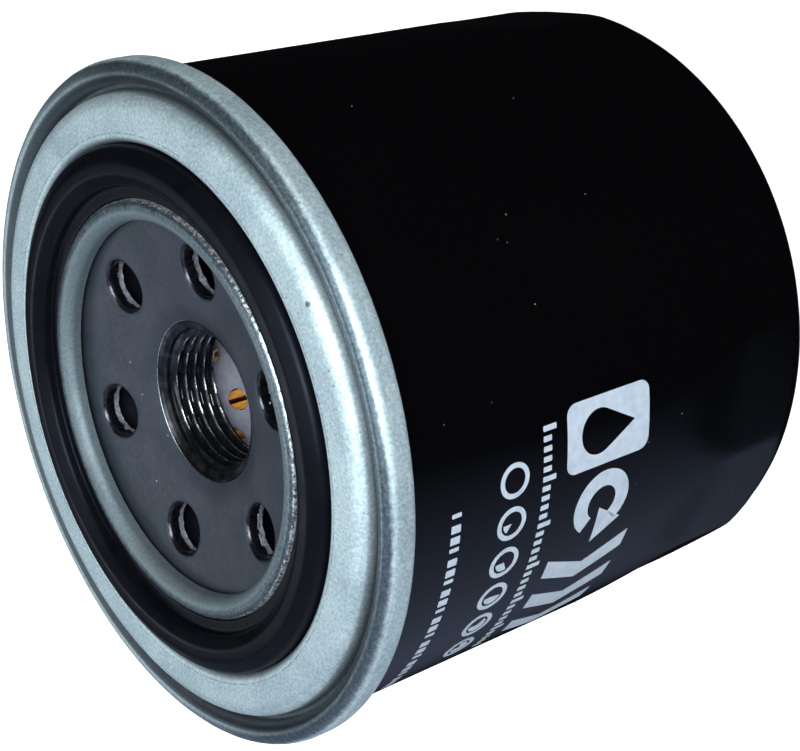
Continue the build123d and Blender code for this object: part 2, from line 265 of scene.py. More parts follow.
# ---- material helpers ---------------------------------------------------------------------------
class Nodes:
    """Small builder around one material's node tree."""

    def __init__(self, name, **fixed):
        self.material = bpy.data.materials.new(name)
        self.material.use_nodes = True
        self.tree = self.material.node_tree
        self.shader = self.tree.nodes["Principled BSDF"]
        for socket, value in fixed.items():
            self.shader.inputs[socket.replace("_", " ")].default_value = value
        self.place = self.node("ShaderNodeTexCoord").outputs["Object"]

    def node(self, kind, **settings):
        node = self.tree.nodes.new(kind)
        for key, value in settings.items():
            setattr(node, key, value)
        return node

    def put(self, value, socket):
        if isinstance(value, bpy.types.NodeSocket):
            self.tree.links.new(value, socket)
        else:
            socket.default_value = value

    def noise(self, size_mm, detail=2.0, rough=0.5, stretch=(1, 1, 1)):
        """Noise from 0 to 1 whose features are about size_mm across."""
        mapping = self.node("ShaderNodeMapping")
        self.put(self.place, mapping.inputs["Vector"])
        mapping.inputs["Scale"].default_value = stretch
        node = self.node("ShaderNodeTexNoise")
        self.put(mapping.outputs["Vector"], node.inputs["Vector"])
        node.inputs["Scale"].default_value = 1 / (size_mm * MM)
        node.inputs["Detail"].default_value = detail
        node.inputs["Roughness"].default_value = rough
        return node.outputs["Fac"]

    def cells(self, size_mm):
        """Distance to the nearest of scattered points that are about size_mm apart."""
        node = self.node("ShaderNodeTexVoronoi")
        self.put(self.place, node.inputs["Vector"])
        node.inputs["Scale"].default_value = 1 / (size_mm * MM)
        return node.outputs["Distance"]

    def ramp(self, value, *stops):
        """Colour ramp from (position, value or colour) stops."""
        node = self.node("ShaderNodeValToRGB")
        self.put(value, node.inputs["Fac"])
        while len(node.color_ramp.elements) < len(stops):
            node.color_ramp.elements.new(1.0)
        for element, (position, colour) in zip(node.color_ramp.elements, stops):
            element.position = position
            grey = (colour, colour, colour)
            element.color = (*(grey if isinstance(colour, (int, float)) else colour), 1)
        return node.outputs["Color"]

    def math(self, operation, a, b=0.0):
        node = self.node("ShaderNodeMath", operation=operation)
        self.put(a, node.inputs[0])
        self.put(b, node.inputs[1])
        return node.outputs[0]

    def mix(self, factor, a, b):
        node = self.node("ShaderNodeMix", data_type="RGBA", blend_type="MIX")
        for value, socket in ((factor, node.inputs[0]), (a, node.inputs[6]), (b, node.inputs[7])):
            if isinstance(value, tuple):
                value = (*value, 1)
            self.put(value, socket)
        return node.outputs[2]

    def bump(self, height, distance_mm, strength=1.0):
        node = self.node("ShaderNodeBump")
        self.put(height, node.inputs["Height"])
        node.inputs["Distance"].default_value = distance_mm * MM
        node.inputs["Strength"].default_value = strength
        previous = self.shader.inputs["Normal"]
        if previous.is_linked:
            self.tree.links.new(previous.links[0].from_socket, node.inputs["Normal"])
        self.tree.links.new(node.outputs["Normal"], previous)

    def axes(self):
        split = self.node("ShaderNodeSeparateXYZ")
        self.put(self.place, split.inputs[0])
        return split.outputs

    def radius_mm(self):
        """Distance from the filter's axis, in mm."""
        x, y, _ = self.axes()
        squares = self.math("ADD", self.math("POWER", x, 2.0), self.math("POWER", y, 2.0))
        return self.math("MULTIPLY", self.math("SQRT", squares), 1 / MM)

    def height_mm(self):
        return self.math("MULTIPLY", self.axes()[2], 1 / MM)

    def radial_streaks(self, count, rough=0.7):
        """Noise that changes only with the angle around the axis."""
        x, y, _ = self.axes()
        turn = self.node("ShaderNodeCombineXYZ")
        flat = self.node("ShaderNodeVectorMath", operation="NORMALIZE")
        self.put(x, turn.inputs[0])
        self.put(y, turn.inputs[1])
        self.put(turn.outputs[0], flat.inputs[0])
        node = self.node("ShaderNodeTexNoise")
        self.put(flat.outputs[0], node.inputs["Vector"])
        node.inputs["Scale"].default_value = count
        node.inputs["Detail"].default_value = 3.0
        node.inputs["Roughness"].default_value = rough
        return node.outputs["Fac"]

    def band(self, value, low, high, soft):
        """1 while the value is between low and high, with soft edges of that width."""
        rise = self.node("ShaderNodeMapRange", clamp=True)
        fall = self.node("ShaderNodeMapRange", clamp=True)
        for node, start, end in ((rise, low - soft, low + soft), (fall, high + soft, high - soft)):
            self.put(value, node.inputs["Value"])
            node.inputs["From Min"].default_value = start
            node.inputs["From Max"].default_value = end
        return self.math("MULTIPLY", rise.outputs["Result"], fall.outputs["Result"])

    def colour(self, value):
        self.put(value, self.shader.inputs["Base Color"])

    def roughness(self, value):
        self.put(value, self.shader.inputs["Roughness"])


def make_paint():
    """Glossy black enamel with a little dust on it."""
    m = Nodes("can_paint", Coat_Weight=0.5, Coat_Roughness=0.06)
    specks = m.ramp(m.cells(2.2), (0.0, 1.0), (0.050, 0.0))
    sparse = m.ramp(m.noise(9.0, 1.0), (0.62, 0.0), (0.66, 1.0))
    dust = m.math("MULTIPLY", specks, sparse)
    m.colour(m.mix(dust, (0.0009, 0.0009, 0.0011), (0.50, 0.50, 0.55)))
    m.roughness(m.ramp(m.noise(14.0, 4.0), (0.35, 0.16), (0.75, 0.26)))
    m.bump(m.noise(1.6, 2.0), 0.002, 0.35)
    return m.material


# Bands of the cover, in mm from the axis, and limits that lie past every point of it.
SEAM_CREST_R = 42.9
LIP_ROLL = (27.1, 29.5)
LIP_EDGE = (28.32, 28.72)
INSIDE_GASKET = (20.0, 29.2)
SCUFF_RING = (GROOVE_OUT_R + 1.28, GROOVE_OUT_R + 1.36)
PAST_RIM = 60.0
PAST_TOP = FACE_Z + 5
PAST_SIDE = -100.0
CREST_SHADE_TO_Y = 8.0               # the crest's painted shade is strongest on the side below this Y
FLAW_R = 0.36


def make_zinc():
    """Matte zinc; the gasket lip is burnished darker and smoother, and the seam's crest is
    smoother and painted darker as shade, mostly on one side.
    """
    m = Nodes("zinc_plating", Metallic=0.82)
    # plating: fine mottle, clouds, pits and stains
    mottle = m.ramp(m.noise(0.42, 3.0, 0.7),
                    (0.34, (0.30, 0.41, 0.45)), (0.66, (0.68, 0.82, 0.86)))
    cloud = m.ramp(m.noise(7.0, 3.0), (0.40, (0.42, 0.54, 0.60)), (0.62, (0.66, 0.79, 0.82)))
    base = m.mix(0.35, mottle, cloud)
    pits = m.ramp(m.cells(1.3), (0.06, 1.0), (0.11, 0.0))
    few = m.ramp(m.noise(2.6, 2.0), (0.58, 0.0), (0.64, 1.0))
    base = m.mix(m.math("MULTIPLY", pits, few), base, (0.10, 0.11, 0.13))
    stain = m.ramp(m.noise(16.0, 5.0, 0.65), (0.60, 0.0), (0.72, 0.45))
    base = m.mix(stain, base, (0.30, 0.34, 0.42))

    # wear and painted shade: burnished lip, and a crest that is smoother and painted dark as
    # shade, with ragged edges
    radius, height = m.radius_mm(), m.height_mm()
    jagged = m.math("MULTIPLY", m.math("SUBTRACT", m.noise(0.8, 4.0, 0.7), 0.5), 0.7)
    ragged_height = m.math("ADD", height, jagged)
    ragged_radius = m.math("ADD", radius, jagged)
    # crest: band of painted shade on the seam's crest, strongest on one side
    crest = m.math("MULTIPLY", m.band(radius, SEAM_CREST_R, PAST_RIM, 0.1),
                   m.band(ragged_height, FACE_Z - 1.55, PAST_TOP, 0.22))
    y_mm = m.math("MULTIPLY", m.axes()[1], 1 / MM)
    crest_shade_side = m.band(y_mm, PAST_SIDE, CREST_SHADE_TO_Y, 14.0)
    crest = m.math("MULTIPLY", crest, m.math("ADD", m.math("MULTIPLY", crest_shade_side, 0.8), 0.2))
    lip = m.math("MULTIPLY", m.band(ragged_radius, *LIP_ROLL, 0.15),
                 m.band(height, LIP_TOP - 0.6, PAST_TOP, 0.1))
    scuffs = m.ramp(m.radial_streaks(70), (0.36, 0.45), (0.58, 1.0))
    # worn: burnish on the lip with its scuffs, plus the painted shade on the crest
    worn = m.math("MAXIMUM", m.math("MULTIPLY", crest, 0.92), m.math("MULTIPLY", lip, scuffs))
    dark = m.ramp(m.noise(0.5, 4.0, 0.75),
                  (0.42, (0.062, 0.088, 0.110)), (0.76, (0.23, 0.30, 0.35)))
    dull = m.mix(0.72, base, (0.08, 0.11, 0.13))
    base = m.mix(m.band(radius, *INSIDE_GASKET, 0.2), base, dull)
    base = m.mix(worn, base, dark)
    sparkle = m.math("MULTIPLY", m.band(ragged_radius, *LIP_EDGE, 0.05),
                     m.ramp(m.noise(0.55, 4.0, 0.8), (0.46, 0.0), (0.54, 1.0)))
    base = m.mix(sparkle, base, (0.90, 0.95, 1.0))

    # marks: one small flaw and a broken scuff ring; then painted shade in the seam's valley and at
    # the groove's edge
    flaw_x, flaw_y, _ = m.axes()
    off = [m.math("POWER", m.math("SUBTRACT", axis, at * MM), 2.0)
           for axis, at in ((flaw_x, FLAW[0]), (flaw_y, FLAW[1]))]
    away = m.math("MULTIPLY", m.math("SQRT", m.math("ADD", *off)), 1 / MM)
    away = m.math("ADD", away, m.math("MULTIPLY", jagged, 0.8))
    flaw = m.math("MULTIPLY", m.band(away, -9.0, FLAW_R, 0.12), 0.8)
    base = m.mix(flaw, base, (0.05, 0.055, 0.07))
    scuff_line = m.band(m.math("ADD", radius, m.math("MULTIPLY", jagged, 0.25)),
                        *SCUFF_RING, 0.06)
    broken = m.ramp(m.radial_streaks(45, 0.8), (0.44, 0.0), (0.52, 0.9))
    base = m.mix(m.math("MULTIPLY", scuff_line, broken), base, (0.04, 0.045, 0.06))
    # painted shade over the valley, the chuck wall and the inner side of the crest
    crease_shade = m.band(radius, VALLEY_R - 0.1, CHUCK_MID + 0.95, 0.18)
    base = m.mix(m.math("MULTIPLY", crease_shade, 0.85), base, (0.03, 0.035, 0.045))
    # painted shade on the rounded edge down into the gasket groove
    shade = m.band(radius, GROOVE_OUT_R - 2, GROOVE_OUT_R + 0.55, 0.35)
    base = m.mix(m.math("MULTIPLY", shade, 0.75), base, (0.05, 0.06, 0.07))

    m.colour(base)
    rough = m.ramp(m.noise(0.45, 3.0, 0.7), (0.3, 0.56), (0.7, 0.72))
    smooth = m.ramp(m.noise(0.6, 3.0, 0.7), (0.3, 0.26), (0.7, 0.40))
    m.roughness(m.mix(worn, rough, smooth))
    m.bump(m.noise(0.30, 3.0, 0.6), 0.010, 0.5)
    m.bump(m.noise(2.5, 2.0), 0.020, 0.25)
    return m.material


def make_plate_steel():
    """Dark phosphated steel with fine grain and a few pale spots."""
    m = Nodes("plate_steel", Metallic=0.35, Specular_IOR_Level=0.35)
    tone = m.ramp(m.noise(5.0, 4.0), (0.35, (0.030, 0.039, 0.054)), (0.70, (0.043, 0.052, 0.070)))
    specks = m.ramp(m.noise(0.35, 2.0), (0.68, 0.0), (0.76, 0.8))
    base = m.mix(specks, tone, (0.030, 0.030, 0.040))
    spots = m.ramp(m.cells(1.8), (0.05, 1.0), (0.10, 0.0))
    rare = m.ramp(m.noise(4.0, 2.0), (0.62, 0.0), (0.66, 1.0))
    m.colour(m.mix(m.math("MULTIPLY", spots, rare), base, (0.30, 0.30, 0.34)))
    m.roughness(m.ramp(m.noise(0.8, 3.0), (0.3, 0.46), (0.7, 0.62)))
    m.bump(m.noise(0.28, 2.0), 0.006, 0.45)
    return m.material


def make_thread_steel():
    m = Nodes("thread_steel", Metallic=0.95)
    m.colour(m.ramp(m.noise(1.2, 3.0), (0.35, (0.040, 0.043, 0.050)), (0.70, (0.11, 0.115, 0.13))))
    m.roughness(m.ramp(m.noise(0.9, 3.0), (0.3, 0.16), (0.7, 0.26)))
    m.bump(m.noise(0.3, 3.0, stretch=(1, 1, 5)), 0.004, 0.4)
    return m.material


def make_bright_edge():
    """Bare metal where a tool has rubbed an edge."""
    m = Nodes("bright_edge", Metallic=1.0)
    m.colour(m.ramp(m.noise(0.4, 3.0), (0.35, (0.30, 0.33, 0.37)), (0.62, (0.78, 0.84, 0.88))))
    m.roughness(m.ramp(m.noise(0.3, 3.0), (0.3, 0.22), (0.7, 0.36)))
    m.bump(m.noise(0.25, 2.0), 0.008, 0.5)
    return m.material


def make_burnished():
    """Smooth, dark band that the punch rubs into the upper part of a hole."""
    m = Nodes("burnished_edge", Metallic=0.95)
    m.colour(m.ramp(m.noise(0.7, 3.0),
                    (0.35, (0.035, 0.037, 0.046)), (0.7, (0.075, 0.078, 0.095))))
    m.roughness(m.ramp(m.noise(0.5, 3.0, stretch=(1, 1, 0.3)), (0.3, 0.22), (0.7, 0.36)))
    m.bump(m.noise(0.3, 3.0, stretch=(1, 1, 0.25)), 0.010, 0.5)
    return m.material


def make_fracture():
    """Torn metal at the lower part of a punched hole."""
    m = Nodes("punched_edge", Metallic=0.5)
    m.colour(m.ramp(m.noise(0.5, 4.0, 0.7),
                    (0.35, (0.16, 0.17, 0.20)), (0.62, (0.44, 0.46, 0.52))))
    m.roughness(m.ramp(m.noise(0.6, 3.0), (0.3, 0.35), (0.7, 0.60)))
    m.bump(m.noise(0.35, 4.0, 0.7), 0.06, 0.9)
    return m.material


def make_rubber(name, tone, low=0.32, high=0.44):
    """Blue-black rubber; tone is its lightness, low and high its roughness."""
    m = Nodes(name, Specular_IOR_Level=0.13, Specular_Tint=(0.62, 0.75, 1.0, 1))
    blue_black = (tone * 0.8, tone * 0.9, tone * 1.5)
    worn_black = (tone * 1.5, tone * 1.6, tone * 2.2)
    m.colour(m.ramp(m.noise(3.0, 3.0), (0.3, blue_black), (0.7, worn_black)))
    dust = m.ramp(m.noise(0.8, 3.0), (0.62, 0.0), (0.80, 0.10))
    m.roughness(m.math("ADD", m.ramp(m.noise(5.0, 3.0), (0.3, low), (0.7, high)), dust))
    m.bump(m.noise(0.45, 2.0), 0.004, 0.4)
    return m.material


def make_tube_steel():
    m = Nodes("tinned_steel", Metallic=0.15)
    m.colour(m.ramp(m.noise(0.9, 3.0), (0.3, (0.34, 0.37, 0.45)), (0.7, (0.45, 0.48, 0.57))))
    m.roughness(m.ramp(m.noise(1.5, 3.0), (0.3, 0.38), (0.7, 0.55)))
    m.bump(m.noise(0.6, 3.0), 0.006, 0.4)
    return m.material


def make_paper():
    m = Nodes("filter_paper", Roughness=0.85)
    fibres = m.noise(0.5, 4.0, 0.7, stretch=(1, 1, 0.25))
    m.colour(m.ramp(fibres, (0.30, (0.48, 0.17, 0.02)), (0.70, (1.0, 0.48, 0.09))))
    m.bump(fibres, 0.05, 0.7)
    return m.material


def make_adhesive():
    m = Nodes("adhesive", Roughness=0.4)
    m.colour(m.ramp(m.noise(3.0, 3.0), (0.3, (0.30, 0.22, 0.12)), (0.7, (0.45, 0.34, 0.20))))
    m.bump(m.noise(2.0, 2.0), 0.05, 0.5)
    return m.material


def make_spring_steel():
    m = Nodes("spring_steel", Metallic=1.0)
    m.colour(m.ramp(m.noise(1.5, 3.0), (0.3, (0.16, 0.16, 0.18)), (0.7, (0.30, 0.30, 0.32))))
    m.roughness(m.ramp(m.noise(1.0, 3.0), (0.3, 0.28), (0.7, 0.42)))
    m.bump(m.noise(0.3, 2.0), 0.006, 0.4)
    return m.material


def make_sealant():
    m = Nodes("seam_compound", Roughness=0.6)
    m.colour(m.ramp(m.noise(1.5, 2.0), (0.3, (0.22, 0.20, 0.17)), (0.7, (0.34, 0.32, 0.28))))
    m.bump(m.noise(0.8, 2.0), 0.02, 0.5)
    return m.material


def make_ink():
    m = Nodes("print_ink", Roughness=0.42)
    m.colour(m.ramp(m.noise(1.2, 3.0), (0.3, (0.28, 0.34, 0.40)), (0.7, (0.36, 0.42, 0.48))))
    m.bump(m.noise(0.5, 2.0), 0.004, 0.4)
    return m.material


PAINT = make_paint()
ZINC = make_zinc()
PLATE_STEEL = make_plate_steel()
THREAD_STEEL = make_thread_steel()
BRIGHT_EDGE = make_bright_edge()
BURNISHED = make_burnished()
FRACTURE = make_fracture()
GASKET_RUBBER = make_rubber("gasket_rubber", 0.0022)
VALVE_RUBBER = make_rubber("valve_rubber", 0.002, 0.45, 0.60)
TUBE_STEEL = make_tube_steel()
PAPER = make_paper()
ADHESIVE = make_adhesive()
SPRING_STEEL = make_spring_steel()
SEALANT = make_sealant()
INK = make_ink()


# ---- can ----------------------------------------------------------------------------------------
RIDGE_BLEND = 0.22              # how softly the flutes meet the round wall
BEND_SLACK = 0.001              # keeps a short straight between two bends in a row


def flute_dip(z):
    """Depth of a flute at its middle, at this height."""
    return FLUTE_DEPTH * smooth_step((FLUTE_TOP - z) / (FLUTE_TOP - FLUTE_FULL))


def fluted(r, z, angle):
    """Wall point pulled in to the flat of the nearest flute, with soft ridges."""
    if z > FLUTE_TOP or r < CAN_R - CAN_CORNER:
        return r, z
    inner = SHEET if z > SHEET + 0.01 and inside_wall(r, z) else 0.0
    pitch = 2 * pi / FLUTES
    off = (angle - FLUTE_PHASE) % pitch - pitch / 2
    flat = (CAN_R - inner - flute_dip(z)) / cos(off)
    return smooth_min(r, flat, RIDGE_BLEND), z


def inside_wall(r, z):
    """True for a point of the inner surface of the cup's wall or corner."""
    centre_r, centre_z = CAN_R - CAN_CORNER, CAN_CORNER
    if z >= centre_z:
        return r < CAN_R - SHEET / 2
    reach = sqrt((r - centre_r) ** 2 + (z - centre_z) ** 2)
    return reach < CAN_CORNER - SHEET / 2


def make_can():
    crest_bend = (CAN_HOOK_MID - CAN_MID) / 2 - BEND_SLACK
    middle = rounded(
        [(0, PANEL_DEPTH + SHEET / 2), (PANEL_R - 1.2, PANEL_DEPTH + SHEET / 2),
         (PANEL_R + 0.6, SHEET / 2), (CAN_MID, SHEET / 2), (CAN_MID, CAN_CREST_MID),
         (CAN_HOOK_MID, CAN_CREST_MID), (CAN_HOOK_MID, SEAM_FOOT_MID + SHEET + 0.5)],
        [0, 1.5, 1.5, CAN_CORNER - SHEET / 2, crest_bend, crest_bend, 0], step=6.0,
    )
    middle = divided(middle, 1.0, closed=False)
    outline = sheet_outline(middle, SHEET)
    outline[0].x = outline[-1].x = 0.0
    bm = lathe_mesh(outline, LATHE_STEPS, fluted)
    piece = new_piece("can_shell", bm, "shell", [PAINT], sharp=60)
    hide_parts("can")


make_can()


# ---- cover plate --------------------------------------------------------------------------------
SEAM_FROM_R = 43.0              # everything outside this radius is part of the seam
SEAM_INSET = 0.015              # keeps the uneven seam inside the true circle
LIP_NICKED = (27.9, 28.7)


def cover_wear(r, z, angle):
    """Small dents on the seam, unevenness of the rolled edge and a nicked gasket lip."""
    if r > SEAM_FROM_R:
        worn = 0.035 * grain(r, z, angle, 6.0) + 0.018 * grain(r, z, angle, 1.8, 40.0)
        return r - SEAM_INSET - abs(worn), z + worn * 0.5
    if LIP_NICKED[0] < r < LIP_NICKED[1] and z > LIP_TOP - 0.8:
        nick = abs(0.05 * grain(r, z, angle, 0.7) + 0.05 * grain(r, z, angle, 2.2, 9.0))
        return r - nick * 0.9, z - nick * 0.4
    return r, z + 0.012 * grain(r, z, angle, 8.0)


def make_cover():
    half = SHEET / 2
    crest_bend = (SEAM_WALL_MID - CHUCK_MID) / 2 - BEND_SLACK
    foot_bend = (SEAM_WALL_MID - COVER_HOOK_MID) / 2 - BEND_SLACK
    path = [
        ((LIP_IN_R + half, GROOVE_FLOOR + 0.2), 0),
        ((LIP_IN_R + half, LIP_TOP - half), 1.3),
        ((GROOVE_IN_R - half, LIP_TOP - half), 0.45),
        ((GROOVE_IN_R - half, GROOVE_FLOOR - half), 0.45),
        ((GROOVE_OUT_R + half, GROOVE_FLOOR - half), 0.45),
        ((GROOVE_OUT_R + half, FACE_Z - half), 1.0),
        ((VALLEY_R - 0.7, FACE_Z - half), 1.8),
        ((VALLEY_R, VALLEY_Z - half), 0.5),
        ((CHUCK_MID, VALLEY_Z - half), 0.5),
        ((CHUCK_MID, SEAM_CREST_MID), crest_bend),
        ((SEAM_WALL_MID, SEAM_CREST_MID), crest_bend),
        ((SEAM_WALL_MID, SEAM_FOOT_MID), foot_bend),
        ((COVER_HOOK_MID, SEAM_FOOT_MID), foot_bend),
        ((COVER_HOOK_MID, CAN_CREST_MID - SHEET - 0.4), 0),
    ]
    middle = rounded([point for point, _ in path], [bend for _, bend in path], step=7.5)
    outline = sheet_outline(divided(middle, 0.7, closed=False), SHEET)
    bm = lathe_mesh(outline, LATHE_STEPS, cover_wear)
    piece = new_piece("cover", bm, "shell", [ZINC], sharp=50)
    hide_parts("cover_plate")


make_cover()


# ---- gasket -------------------------------------------------------------------------------------
def make_gasket():
    bottom = GROOVE_FLOOR + 0.05
    inner = GROOVE_IN_R + 0.10
    outer = GROOVE_OUT_R - 0.05
    outline = rounded(
        [(inner, bottom), (outer, bottom), (outer, GASKET_TOP - 1.0),
         (outer - 2.1, GASKET_TOP), (GASKET_SKIRT_R + 1.6, GASKET_TOP),
         (GASKET_SKIRT_R, GASKET_TOP - 1.0), (GASKET_SKIRT_R - 0.15, GASKET_SKIRT_TOP),
         (inner, GASKET_SKIRT_TOP)],
        [0.3, 0.3, 1.1, 1.5, 1.2, 0.9, 0.3, 0.3], closed=True,
    )

    def moulded(r, z, angle):
        """Moulded rubber is slightly uneven, never above its true surface."""
        return r, z - abs(0.012 * grain(r, z, angle, 5.0))

    bm = lathe_mesh(divided(outline, 0.6), 540, moulded)
    piece = new_piece("sealing_gasket", bm, "shell", [GASKET_RUBBER],
                      sharp=60)
    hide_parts("gasket")


make_gasket()


# ---- tapping plate with its thread and punched holes --------------------------------------------
THREAD_TOP = PLATE_TOP - DIP - 1.7
THREAD_ROWS = 16                # rings of the mesh in one thread pitch
THREADED_R = THREAD_R + THREAD_DEPTH
THREAD_PHASE = 0.03             # turns
THREAD_CREST = 0.09             # share of half a pitch that is flat crest
THREAD_FLANK = 0.66             # share that slopes; the rest is flat root
BURNISHED_TO = 1.75             # depth in a punched hole where the metal starts to tear
INLET_ANGLES = [INLET_PHASE + 2 * pi * k / INLETS for k in range(INLETS)]

PLATE_MATERIALS = [PLATE_STEEL, THREAD_STEEL, BURNISHED, FRACTURE, BRIGHT_EDGE]
THREADED, RUBBED, TORN, BRIGHT = 1, 2, 3, 4     # places in that list


def thread_shape(r, z, angle):
    """Bore or lead-in point moved out to the flank or root of the helical thread."""
    if r > THREADED_R:
        return r, z
    turn = (z / THREAD_PITCH - angle / (2 * pi) + THREAD_PHASE) % 1.0
    flank = (abs(turn - 0.5) * 2 - THREAD_CREST) / THREAD_FLANK
    depth = THREAD_DEPTH * min(max(flank, 0.0), 1.0)
    if z < COLLAR_BOTTOM + 0.6:
        depth *= 0.7
    nick = 0.015 * grain(r, z, angle, 1.6)
    return max(r, THREAD_R + depth + nick), z


def dish_drop(r):
    """How far the dished face lies under the plate's flat rim, at this radius."""
    return DISH * min(max((DISH_R - r) / (DISH_R - DIP_R), 0.0), 1.0)


def punch_cutter(angle):
    """Solid that a punch leaves: rolled upper edge, straight land, then a torn, wider foot."""
    top = PLATE_TOP - dish_drop(INLET_CIRCLE_R)
    bottom = top - PLATE_T
    outline = divided([Vector(p) for p in (
        (0, top + 2), (INLET_R + 1.4, top + 2), (INLET_R + 1.4, top + 0.5),
        (INLET_R + 0.55, top + 0.03), (INLET_R + 0.25, top - 0.14), (INLET_R + 0.05, top - 0.42),
        (INLET_R, top - 0.7), (INLET_R, top - BURNISHED_TO), (INLET_R + 0.22, bottom + 1.2),
        (INLET_R + 0.34, bottom - 1.5), (0, bottom - 1.5))], 0.22)
    slope = DISH / (DISH_R - DIP_R)

    def torn(r, z, turn):
        """Follows the slope of the dished plate, and roughens the torn foot."""
        tilt = slope * r * cos(turn)
        if r < INLET_R - 0.01 or z > top - 1.5:
            return r, z + tilt
        tear = grain(r, z, turn, 1.1, 7.0 * angle) + 0.6 * grain(r, z, turn, 0.45, 3.0 * angle)
        return r + 0.20 * tear, z + tilt + 0.25 * grain(r, 0, turn, 1.5, 5.0 * angle)

    bm = lathe_mesh(outline, 96, torn)
    spot = Matrix.Rotation(angle, 4, "Z") @ Matrix.Translation((INLET_CIRCLE_R * MM, 0, 0))
    bmesh.ops.transform(bm, matrix=spot, verts=bm.verts)
    bmesh.ops.recalc_face_normals(bm, faces=bm.faces)
    return add_object("punch", to_mesh("punch", bm))


def paint_plate(mesh):
    """Gives each face of the punched plate the material of its place."""
    holes = [Vector((cos(a), sin(a))) * INLET_CIRCLE_R for a in INLET_ANGLES]
    for face in mesh.polygons:
        centre = face.center / MM
        reach = sqrt(centre.x ** 2 + centre.y ** 2)
        depth = PLATE_TOP - dish_drop(reach) - centre.z
        from_wall = min(abs((centre.xy - hole).length - INLET_R) for hole in holes)
        if reach < THREAD_R + 0.05 and centre.z < THREAD_TOP + 0.5:
            face.material_index = BRIGHT
        elif reach < LEAD_IN_R - 0.18:
            face.material_index = THREADED
        elif reach < LEAD_IN_R + 0.10 and centre.z > THREAD_TOP:
            face.material_index = BRIGHT
        elif from_wall < 1.0 and 0.12 < depth < PLATE_T - 0.1:
            face.material_index = RUBBED if depth < BURNISHED_TO else TORN
        face.use_smooth = True


def make_plate():
    bottom = PLATE_TOP - PLATE_T
    corners = [(THREAD_R, THREAD_TOP), (THREAD_R, COLLAR_BOTTOM), (COLLAR_R, COLLAR_BOTTOM),
               (COLLAR_R, bottom - DISH), (DIP_R, bottom - DISH), (DISH_R - 0.6, bottom),
               (PLATE_R, bottom), (PLATE_R, PLATE_TOP), (DISH_R, PLATE_TOP),
               (DIP_R, PLATE_TOP - DISH), (LEAD_IN_R, PLATE_TOP - DIP),
               (LEAD_IN_R - 0.4, PLATE_TOP - DIP - 0.4),
               (THREADED_R + 0.08, PLATE_TOP - DIP - 0.75),
               (THREADED_R + 0.08, PLATE_TOP - DIP - 1.35)]
    bends = [0, 0.3, 0.4, 0.3, 1.0, 6.0, 0.4, 0.4, 12.0, 8.0, 0.3, 0.1, 0, 0]
    outline = rounded(corners, bends, closed=True, step=5.0)
    fine = divided(outline, THREAD_PITCH / THREAD_ROWS)
    coarse = divided(outline, 0.9)
    edge = THREADED_R + 0.05
    lead_in = [p for p in fine if p.x < edge and p.y > THREAD_TOP]
    bore = [p for p in fine if p.x < edge and p.y <= THREAD_TOP]
    rest = [p for p in coarse if p.x >= edge]
    bm = lathe_mesh(bore + rest + lead_in, 288, thread_shape)
    piece = new_piece("threaded_plate", bm, "shell", PLATE_MATERIALS,
                      sharp=180)
    cutters = [punch_cutter(angle) for angle in INLET_ANGLES]
    for cutter in cutters:
        cut = piece.modifiers.new("punch", "BOOLEAN")
        cut.operation = "DIFFERENCE"
        cut.solver = "EXACT"
        cut.object = cutter
    punched = evaluated_mesh(piece)
    piece.modifiers.clear()
    piece.data = punched
    for cutter in cutters:
        bpy.data.objects.remove(cutter)
    paint_plate(punched)
    punched.set_sharp_from_angle(angle=radians(40))
    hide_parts("tapping_plate")


make_plate()


# ---- anti-drain valve ---------------------------------------------------------------------------
def make_drain_valve():
    low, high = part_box("anti_drain_valve")
    foot, lid, lip_r = low.z / MM, high.z / MM, high.x / MM
    neck, shoulder = COLLAR_R + 0.05, foot + VALVE_FOOT_T
    outline = rounded(
        [(neck, foot), (VALVE_FOOT_R, foot), (VALVE_FOOT_R, shoulder),
         (lip_r - 0.3, lid - 1.0), (lip_r, lid), (lip_r - 1.0, lid), (lip_r - 2.0, lid - 0.6),
         (VALVE_FOOT_R, shoulder + VALVE_WEB / 2), (VALVE_FOOT_R - 1.2, shoulder + VALVE_WEB),
         (neck, shoulder + VALVE_WEB)],
        [0.1, 0.3, 0.5, 0.2, 0.1, 0.1, 0.3, 0.4, 0.4, 0.1], closed=True,
    )
    bm = lathe_mesh(divided(outline, 0.8), 192)
    piece = new_piece("drain_diaphragm", bm, None, [VALVE_RUBBER], sharp=60)
    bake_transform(piece)
    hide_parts("anti_drain_valve")


make_drain_valve()


